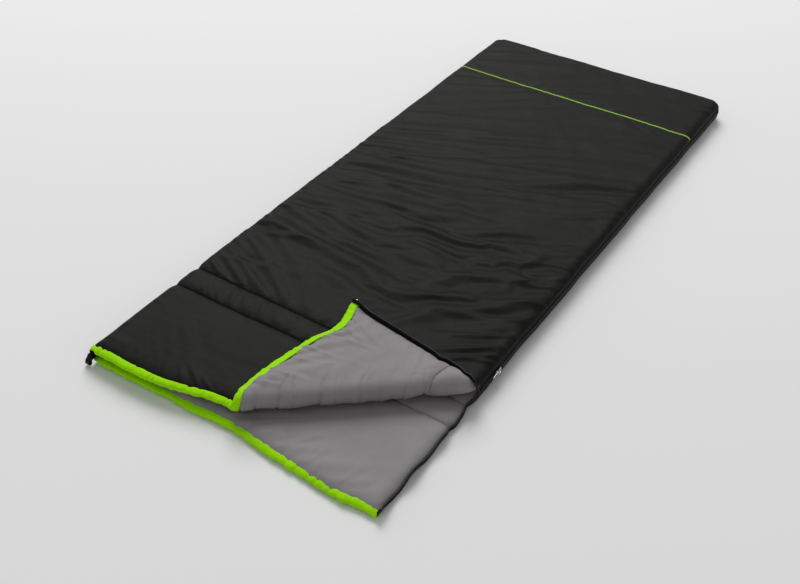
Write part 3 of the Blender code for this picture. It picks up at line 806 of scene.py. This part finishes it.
def make_top_shell():
    u, v = flat_grid(SHEET_MOUTH_Y, PIPING_Y - PIPING_HALF_GAP, VISIBLE_STEP, SIDE_RADIUS, 0, 0.02)
    shell = sheet_object("top_shell_cloth", u, v, top_shell_z(u, v), up=True)
    keep_side(shell, 0.0, keep_flap=False)
    finish_piece(shell, "shell_fabric", ["top_shell", "top_padding"], "top_quilt")
    u, v = flat_grid(PIPING_Y + PIPING_HALF_GAP, FOOT_Y, VISIBLE_STEP, SIDE_RADIUS, 0.02, FOOT_RADIUS)
    panel = sheet_object("foot_panel_cloth", u, v, top_shell_z(u, v), up=True)
    finish_piece(panel, "shell_fabric", ["foot_panel"], "top_quilt")


def make_top_lining():
    u, v = flat_grid(SHEET_MOUTH_Y, FOOT_Y, HIDDEN_STEP, SIDE_RADIUS, 0, FOOT_RADIUS)
    lining = sheet_object("top_lining_cloth", u, v, top_lining_z(u, v), up=False)
    keep_side(lining, BEND_LENGTH / 2, keep_flap=False)
    finish_piece(lining, "lining_fabric", ["top_lining"], "top_quilt")


def make_bottom_quilt():
    u, v = flat_grid(SHEET_MOUTH_Y, FOOT_Y, VISIBLE_STEP * 1.15, SIDE_RADIUS, 0, FOOT_RADIUS)
    lining = sheet_object("bottom_lining_cloth", u, v, bottom_lining_z(u, v), up=True, plan=bottom_plan)
    finish_piece(lining, "lining_fabric", ["bottom_lining", "bottom_padding"], "bottom_quilt")
    u, v = flat_grid(SHEET_MOUTH_Y, FOOT_Y, HIDDEN_STEP, UNDERSIDE_RADIUS, 0, UNDERSIDE_RADIUS)
    shell = sheet_object("bottom_shell_cloth", u, v, bottom_shell_z(u, v), up=False, plan=bottom_plan)
    finish_piece(shell, "shell_fabric", ["bottom_shell"], "bottom_quilt")


# The turned corner

FLAP_STEP = 0.0040
FLAP_LOW_U = FOLD_POINT[0] - 0.06


def flap_grid(step, seams):
    across = edge_spaced(FLAP_LOW_U, HALF_WIDTH, step, 0, SIDE_RADIUS)
    along = sewn_rows(SHEET_MOUTH_Y, FOLD_END_Y + 0.06, step, seams=seams)
    return np.meshgrid(across, along)


# The cloth that goes round the roll draws the flap's lining seams towards the fold, and takes in the second
FLAP_LINING_SEAMS = (SEAMS[0] + 0.034,)

# Sharp short creases up the front of the roll, measured along the fold line
ROLL_CREASES = (
    (0.045, 0.35, 0.0, 0.070, 0.0030, -0.0042),
    (0.080, 0.50, 1.0, 0.085, 0.0034, -0.0048),
    (0.118, 0.30, 0.0, 0.060, 0.0030, -0.0036),
    (0.165, 0.55, 1.5, 0.090, 0.0036, -0.0052),
    (0.205, 0.20, 0.5, 0.065, 0.0030, -0.0040),
    (0.262, 0.45, 1.0, 0.095, 0.0036, -0.0050),
    (0.300, 0.30, 0.0, 0.060, 0.0030, -0.0034),
    (0.352, 0.50, 1.0, 0.085, 0.0034, -0.0048),
    (0.402, 0.25, 0.0, 0.070, 0.0032, -0.0040),
    (0.455, 0.40, 0.5, 0.075, 0.0034, -0.0044),
    (0.505, 0.30, 0.0, 0.060, 0.0030, -0.0036),
)

# Folds in the turned corner's lining, measured along the mouth
FLAP_CREASES = (
    (0.060, 0.55, -0.8, 0.130, 0.006, 0.0020),
    (0.110, 0.30, 0.6, 0.160, 0.007, 0.0026),
    (0.165, 0.60, -0.6, 0.150, 0.006, 0.0022),
    (0.225, 0.20, 0.4, 0.200, 0.007, 0.0028),
    (0.285, 0.42, -0.7, 0.170, 0.006, 0.0026),
    (0.340, -0.05, -0.5, 0.220, 0.008, 0.0034),
    (0.385, -0.30, 0.4, 0.160, 0.007, 0.0026),
)


def flap_lining_z(u, v):
    """The lining's height while the corner still lies flat; its outer face looks down."""
    share = quilt_height(u, v, 0.030, 0.030, FLAP_LINING_SEAMS)
    x, y = top_plan(u, v)
    across = fold_across(x, y)
    roll = 0.0045 * hill((across + 0.045) / 0.045)
    thin = flap_thinning(across)
    relief = settled(1.9 * lining_relief(u, v, 5, FLAP_LINING_SEAMS), share)
    relief += settled(creases(u, np.maximum(v - BINDING_SEAM_Y, 0), FLAP_CREASES), share)
    along = (x - FOLD_POINT[0]) * FOLD_DIRECTION[0] + (y - FOLD_POINT[1]) * FOLD_DIRECTION[1]
    relief += settled(creases(along, np.maximum(BEND_LENGTH / 2 - across, 0), ROLL_CREASES), share)
    return top_rim_z(u, v) - (HALF_THICKNESS - thin) * share - roll * share - relief


def flap_shell_z(u, v):
    share = quilt_height(u, v, 0.022, 0.022)
    relief = 0.3 * np.abs(settled(sewn_puckers(u, v, 400), share))
    return TOP_RIM_Z + flap_droop(u, v) * (1 - share) + HALF_THICKNESS * share - relief


def make_flap():
    u, v = flap_grid(FLAP_STEP, FLAP_LINING_SEAMS)
    lining = sheet_object("flap_lining_cloth", u, v, flap_lining_z(u, v), up=False)
    keep_side(lining, BEND_LENGTH / 2, keep_flap=True)
    move_points(lining, fold_over)
    start = (FOLD_POINT[0], FOLD_POINT[1], TOP_LOW_Z)
    end = (FOLD_POINT[0], FOLD_POINT[1], FOLD_POINT[2] + 0.008)
    finish_piece(
        lining,
        "lining_fabric",
        ["flap_lining", "fold_lining", "fold_padding"],
        blend=("top_quilt", "corner_flap", start, end),
    )
    u, v = flap_grid(HIDDEN_STEP, SEAMS)
    shell = sheet_object("flap_shell_cloth", u, v, flap_shell_z(u, v), up=True)
    keep_side(shell, 0.0, keep_flap=True)
    move_points(shell, turned_back)
    finish_piece(shell, "shell_fabric", ["flap_shell", "flap_padding"], "corner_flap")


make_top_shell()
make_top_lining()
make_bottom_quilt()
make_flap()


# The mouth's bindings

BINDING_STEP = 0.0030
BINDING_AROUND = 22
BINDING_GATHERS = 16
BINDING_OVER = 0.0017
BINDING_THICKNESS = 0.0008


def fold_start():
    """The place where the drawn-back mouth edge crosses the fold line."""
    u = np.linspace(-0.2, 0.2, 801)
    x, y = top_plan(u, 0 * u + MOUTH_Y)
    place = np.argmin(np.abs(fold_across(x, y)))
    return np.array([x[place], y[place], FOLD_POINT[2]])


def binding_points(rim, seed, plan, over_lining=0.0):
    """A band round the mouth's edge: (along, around) points, from the upper side to the lower one.

    over_lining is how much further it reaches in over the lower side, on the turned corner.
    """
    along = np.linspace(-HALF_WIDTH, HALF_WIDTH, round(2 * HALF_WIDTH / BINDING_STEP) + 1)
    turn = np.linspace(0, math.pi, BINDING_AROUND)
    u, angle = np.meshgrid(along, turn, indexing="ij")
    crown = np.sin(angle) ** 2
    lumps = (0.3 + 0.7 * crown) * 0.0016 * value_noise(u, angle, 0.030, 1.2, seed)
    lumps += (0.4 + 0.6 * crown) * 0.0010 * value_noise(u, angle, 0.010, 0.8, seed + 1)
    lumps += puckers(u, 0.010 * (1 + np.cos(2 * angle)), 0.85, seed + 2, 0.009, 0.03, 0.0011)
    for place in np.random.default_rng(seed + 5).uniform(-HALF_WIDTH, HALF_WIDTH, BINDING_GATHERS):
        lumps = lumps - 0.0012 * hill((u - place - 0.005 * np.cos(angle)) / 0.0030)
    lower = angle > math.pi / 2
    wider = over_lining * smooth((u - FOLD_POINT[0] - 0.04) / 0.10) * lower
    thick = HALF_THICKNESS - flap_thinning(fold_across(u, MOUTH_Y)) * lower * (over_lining > 0)
    mouth_height = MOUTH_HEIGHT + (1 - MOUTH_HEIGHT) * bullnose(wider, MOUTH_SIDE)
    high = thick * mouth_height + BINDING_OVER + 0.17 * wider + lumps
    deep = BINDING_SEAM_Y - MOUTH_Y + wider + lumps + 0.0014 * value_noise(u, 0 * u, 0.06, 1, seed + 3)
    corner = 0.45 + 0.55 * smooth((HALF_WIDTH - np.abs(u)) / 0.020)
    v = BINDING_SEAM_Y + wider + 0.001 + 0.0010 * value_noise(u, 0 * u, 0.02, 1, seed + 4)
    v = v - deep * np.sin(angle) ** 0.85
    x, y = plan(u, v)
    z = rim(u, v) + high * corner * np.sign(np.cos(angle)) * np.abs(np.cos(angle)) ** 0.9
    return np.stack([x, y, z], -1), np.stack([u, angle * 0.02], -1)


def make_bottom_binding():
    points, uv = binding_points(bottom_rim_z, 500, bottom_plan)
    points[..., 2] = np.maximum(points[..., 2], GROUND_CLEARANCE)
    binding = grid_object("bottom_mouth_binding_cloth", points, uv)
    nodes = ["bottom_mouth_binding"]
    finish_piece(binding, "binding_tape", nodes, "bottom_quilt", thickness=BINDING_THICKNESS)


def make_top_binding():
    points, uv = binding_points(top_rim_z, 520, top_plan, over_lining=0.009)
    binding = grid_object("top_mouth_binding_cloth", points, uv)
    move_points(binding, fold_over)
    finish_piece(
        binding,
        "binding_tape",
        ["top_mouth_binding", "flap_mouth_binding"],
        blend=("top_quilt", "corner_flap", fold_start() - BLEND_REACH, fold_start() + BLEND_REACH),
        thickness=BINDING_THICKNESS,
    )


make_bottom_binding()
make_top_binding()


# The zip: tapes and teeth follow the quilts' edge from the mouth round the foot corner

PATH_STEP = 0.004
TOOTH_PITCH = 0.0022
TOOTH_SIZE = (0.0013, 0.0022, 0.0044)
TOOTH_OVERLAP = 0.0006
TAPE_REACH = 0.0150
TAPE_OUT = 0.0006
TAPE_THICKNESS = 0.0007
TEETH_OUT = 0.0021
FLAP_TAPE_DROP = 0.0060


def zip_path(start_y, end_x, step):
    """Flat places and outward directions along the zip edge, and the distance along it."""
    corner_y = FOOT_Y - CORNER_RADIUS
    corner_x = HALF_WIDTH - CORNER_RADIUS
    side = corner_y - start_y
    bend = math.pi / 2 * CORNER_RADIUS
    total = side + bend + corner_x - end_x
    far = np.linspace(0, total, round(total / step) + 1)
    turn = np.clip((far - side) / CORNER_RADIUS, 0, math.pi / 2)
    across_foot = np.maximum(far - side - bend, 0)
    u = corner_x + CORNER_RADIUS * np.cos(turn) - across_foot
    v = start_y + np.minimum(far, side) + CORNER_RADIUS * np.sin(turn)
    return u, v, np.cos(turn), np.sin(turn), far


def edge_place(u, v, out_u, out_v, out, draw_mouth):
    """Points that stand out from the quilts' waved edge by out metres."""
    straight = smooth((FOOT_Y - CORNER_RADIUS - v) / 0.05)
    x = u + out * out_u - outline_wave(v) * straight
    y = v + out * out_v
    if draw_mouth:
        y = y + mouth_pull(u) * mouth_fade(v)
    return x, y


def open_share(v, u):
    """1 where the zip is open, beside the turned corner and the mouth, and 0 where it is closed."""
    return smooth((SLIDER_Y - 0.005 - v) / 0.05) * (u > 0.3)


def on_flap(u, v):
    return smooth((FOLD_END_Y - v) / 0.03) * (u > 0.3)


def tape_points(side):
    """A tape from its sewn edge to its free edge. side is 1 for the top quilt's and -1 for the bottom's."""
    u, v, out_u, out_v, far = zip_path(MOUTH_Y + 0.004, 0.005 - HALF_WIDTH, PATH_STEP)
    share = np.linspace(0, 1, 6)
    reach = TAPE_REACH * share
    ripple = 0.0008 * value_noise(far[:, None], reach, 0.028, 0.012, 60 + side)
    out = TAPE_OUT + 0.0006 * np.sin(math.pi * share) + ripple * share
    x, y = edge_place(u[:, None], v[:, None], out_u[:, None], out_v[:, None], out, side > 0)
    sewn_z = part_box("top_zip_tape")[1].z if side > 0 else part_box("bottom_zip_tape")[0].z
    z = np.maximum(sewn_z - side * reach + edge_shift(u, v, side)[:, None], 2 * TAPE_THICKNESS)
    return np.stack([x, y, z], -1), np.stack([np.broadcast_to(far[:, None], z.shape), reach + 0 * z], -1)


def edge_shift(u, v, side):
    """How far the tape and its teeth rise or sink with the quilt's rim where the zip is open."""
    if side > 0:
        return np.maximum(FLAP_TAPE_DROP * on_flap(u, v) * off_tip(u, v), flap_droop(u, v) * (u > 0.3))
    return ((bottom_rim_z(u, v) - BOTTOM_RIM_Z) * 1.6 - 0.0035 * open_share(v, u)) * off_stop(v)


def teeth_object(name, side):
    """One side of the zip's teeth: small waisted blocks, half a pitch off the other side's."""
    u, v, out_u, out_v, far = zip_path(MOUTH_Y + 0.020, 0.029 - HALF_WIDTH, TOOTH_PITCH)
    if side > 0:
        u, v, out_u, out_v = ((a[:-1] + a[1:]) / 2 for a in (u, v, out_u, out_v))
    x, y = edge_place(u, v, out_u, out_v, TEETH_OUT, side > 0)
    z = ZIP_Z + side * (TOOTH_SIZE[2] / 2 - TOOTH_OVERLAP) + edge_shift(u, v, side)
    bm = bmesh.new()
    bmesh.ops.create_cube(bm, size=1)
    bmesh.ops.bevel(bm, geom=bm.edges[:], offset=0.22, segments=1, affect="EDGES")
    shape = np.array([vertex.co[:] for vertex in bm.verts]) * TOOTH_SIZE
    faces = [[vertex.index for vertex in face.verts] for face in bm.faces]
    bm.free()
    waist = 1 - 0.35 * hill((shape[:, 2] * side / TOOTH_SIZE[2] - 0.15) / 0.2)
    along = np.stack([-out_v, out_u, 0 * u], -1)
    outward = np.stack([out_u, out_v, 0 * u], -1)
    centres = np.stack([x, y, z], -1)
    points = centres[:, None] + along[:, None] * (shape[:, 0] * waist)[:, None]
    points = points + outward[:, None] * shape[:, 1][:, None] + np.array([0, 0, 1]) * shape[:, 2][:, None]
    every = [[number * len(shape) + corner for corner in face] for number in range(len(x)) for face in faces]
    mesh = bpy.data.meshes.new(name)
    mesh.from_pydata(points.reshape(-1, 3).tolist(), [], every)
    mesh.uv_layers.new(name="flat")
    return linked_object(name, mesh)


def zip_blend():
    """The top quilt's side of the zip turns over where it meets the end of the fold line."""
    place = np.array([HALF_WIDTH, FOLD_END_Y, FOLD_POINT[2]])
    return "top_quilt", "corner_flap", place + BLEND_REACH, place - BLEND_REACH


def make_zip():
    tape_nodes = {1: ["top_zip_tape", "flap_zip_tape"], -1: ["bottom_zip_tape"]}
    teeth_nodes = {1: ["top_zip_coil", "flap_zip_coil"], -1: ["bottom_zip_coil"]}
    for side, word in ((1, "top"), (-1, "bottom")):
        points, uv = tape_points(side)
        tape = grid_object(word + "_zip_tape_cloth", points, uv)
        teeth = teeth_object(word + "_zip_teeth", side)
        made = (
            (tape, "zip_tape", tape_nodes, TAPE_THICKNESS),
            (teeth, "zip_coil", teeth_nodes, None),
        )
        for obj, slot, nodes, thickness in made:
            if side > 0:
                move_points(obj, fold_over)
                way = {"blend": zip_blend()}
            else:
                way = {"body": "bottom_quilt"}
            finish_piece(obj, slot, nodes[side], thickness=thickness, **way)


make_zip()


# The left side, where one sheet of shell cloth joins the quilts

def make_left_side():
    low_z = BOTTOM_RIM_Z - 0.001
    high_z = TOP_RIM_Z + 0.001
    v = np.linspace(MOUTH_Y + 0.003, FOOT_Y - CORNER_RADIUS + 0.006, 420)
    share = np.linspace(0, 1, 13)
    along, up = np.meshgrid(v, share, indexing="ij")
    folds = 0.0010 * value_noise(along, up, 0.020, 0.5, 71) + 0.0008 * value_noise(along, up, 0.05, 0.7, 72)
    out = 0.0002 + (0.0034 + folds) * np.sin(math.pi * up) ** 0.7
    out = out - 0.0014 * hill((up - 0.5) / 0.12)
    x = -HALF_WIDTH + outline_wave(along) - out
    y = along + mouth_pull(-HALF_WIDTH) * up * mouth_fade(along)
    z = low_z + (high_z - low_z) * up
    side = grid_object("left_side_cloth", np.stack([x, y, z], -1), np.stack([along, up * 0.06], -1))
    x_hinge = JOINTS["top_open"]["pos_m"][0]
    ends = [(x_hinge, 0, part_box("left_side_strip")[corner].z) for corner in (0, 1)]
    finish_piece(
        side,
        "shell_fabric",
        ["left_side_strip", "left_seam_cord"],
        blend=("bottom_quilt", "top_quilt", *ends),
    )


make_left_side()


# The foot panel's piping

PIPING_RADIUS = 0.0022


def make_piping():
    """A cord in its sewn fold, on the line where the foot panel joins the shell."""
    u = edge_spaced(-HALF_WIDTH, HALF_WIDTH, 0.005, SIDE_RADIUS, SIDE_RADIUS)
    turn = np.linspace(0, 2 * math.pi, 12, endpoint=False)
    across, angle = np.meshgrid(u, turn, indexing="ij")
    base = top_shell_z(u, 0 * u + PIPING_Y)[:, None]
    radius = PIPING_RADIUS + 0.0002 * value_noise(across, angle, 0.012, 1, 81)
    wobble = 0.0007 * value_noise(across, 0 * across, 0.07, 1, 82)
    x, _ = top_plan(across, 0 * across + PIPING_Y)
    y = PIPING_Y + wobble + radius * np.cos(angle)
    z = base + 0.0013 + radius * np.sin(angle)
    uv = np.stack([across, angle * PIPING_RADIUS], -1)
    uv = np.concatenate([uv, uv[:, :1] + [0, 2 * math.pi * PIPING_RADIUS]], 1)
    piping = grid_object("foot_piping_cord", np.stack([x, y, z], -1), uv, wrap=True)
    finish_piece(piping, "piping_cord", ["foot_piping"], "top_quilt", thickness=None)


make_piping()


# The hanging loop at the mouth's left corner

LOOP_WIDTH = 0.0135
LOOP_THICKNESS = 0.0012


def make_hang_loop():
    """A strip of webbing, folded double, whose ends are caught in the corner of the binding."""
    low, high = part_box("hang_loop")
    middle_y = (low.y + high.y) / 2
    bend = 0.0034
    top_z = high.z + 0.004
    foot_z = low.z + bend
    turn = np.linspace(0, math.pi, 13)
    rise = np.linspace(1, 0, 12)
    slim = 0.0008 + (bend - 0.0008) * smooth((1 - rise) * 1.4)
    front = np.stack([middle_y - slim, foot_z + (top_z - foot_z) * rise], -1)
    under = np.stack([middle_y - bend * np.cos(turn), foot_z - bend * np.sin(turn)], -1)[1:-1]
    back = np.stack([middle_y + slim, foot_z + (top_z - foot_z) * rise], -1)[::-1]
    line = np.concatenate([front, under, back])
    far = np.concatenate([[0], np.cumsum(np.hypot(*np.diff(line, axis=0).T))])
    width = np.linspace(-0.5, 0.5, 7) * LOOP_WIDTH
    high_share = (line[:, 1] - low.z) / (top_z - low.z)
    centre_x = (low.x + high.x) / 2 + 0.0030 + 0.0065 * smooth(high_share)
    x = centre_x[:, None] + width
    cup = 0.0006 * (width / LOOP_WIDTH * 2) ** 2
    y = line[:, :1] + cup * np.sign(line[:, :1] - middle_y) + 0.0065 * smooth(high_share)[:, None] ** 3
    z = line[:, 1:] + 0 * x
    uv = np.stack(np.broadcast_arrays(far[:, None], width), -1)
    loop = grid_object("hang_loop_webbing", np.stack([x, y, z], -1), uv)
    finish_piece(loop, "webbing", ["hang_loop"], "hang_loop", thickness=LOOP_THICKNESS)


make_hang_loop()


# Carried-over CAD nodes

HARDWARE = {
    "zip_metal": (
        "main_slider",
        "main_slider_pull",
        "foot_slider",
        "foot_slider_pull",
        "flap_zip_stop",
        "zip_retainer_box",
        "zip_insertion_pin",
    ),
    "zip_coil": ("bottom_zip_stop",),
}
for material_name, node_names in HARDWARE.items():
    for node_name in node_names:
        mesh = frame["nodes"][node_name].data
        mesh.materials.clear()
        mesh.materials.append(MATERIALS[material_name])


# Floor, lights and camera

LIGHT_PLACE = (-5.0, 6.0, 9.0)
LIGHT_SIZE = 7.0
LIGHT_POWER = 1010
WORLD_STRENGTH = 0.44


def make_light():
    """One large soft light, turned towards the bag's middle."""
    data = bpy.data.lights.new("key", "AREA")
    data.shape = "RECTANGLE"
    data.size = LIGHT_SIZE
    data.size_y = LIGHT_SIZE
    data.energy = LIGHT_POWER
    light = linked_object("key", data)
    light.location = LIGHT_PLACE
    light.rotation_euler = (-Vector(LIGHT_PLACE)).to_track_quat("-Z", "Y").to_euler()


def make_floor():
    bm = bmesh.new()
    bmesh.ops.create_grid(bm, x_segments=2, y_segments=2, size=30)
    mesh = bpy.data.meshes.new("floor")
    bm.to_mesh(mesh)
    bm.free()
    floor = linked_object("floor", mesh)
    nodes = Nodes("floor_paper")
    nodes.plain({"Base Color": (0.80, 0.80, 0.80, 1), "Roughness": 0.9, "Specular IOR Level": 0.1})
    mesh.materials.append(nodes.material)


def make_world():
    world = bpy.data.worlds.new("studio")
    world.use_nodes = True
    background = world.node_tree.nodes["Background"]
    background.inputs["Color"].default_value = (1, 1, 1, 1)
    background.inputs["Strength"].default_value = WORLD_STRENGTH
    bpy.context.scene.world = world


CAMERA_AZIMUTH = math.radians(33.978)
CAMERA_ELEVATION = math.radians(40.152)
CAMERA_PLACE = (1.21102, -2.07447, 1.75539)
CAMERA_LENS = 45.97


def make_camera():
    data = bpy.data.cameras.new("camera")
    data.sensor_width = 36
    data.lens = CAMERA_LENS
    camera = linked_object("camera", data)
    camera.location = CAMERA_PLACE
    camera.rotation_euler = (math.pi / 2 - CAMERA_ELEVATION, 0, CAMERA_AZIMUTH)
    bpy.context.scene.camera = camera


make_floor()
make_world()
make_light()
make_camera()
bpy.context.scene.view_settings.view_transform = "Standard"
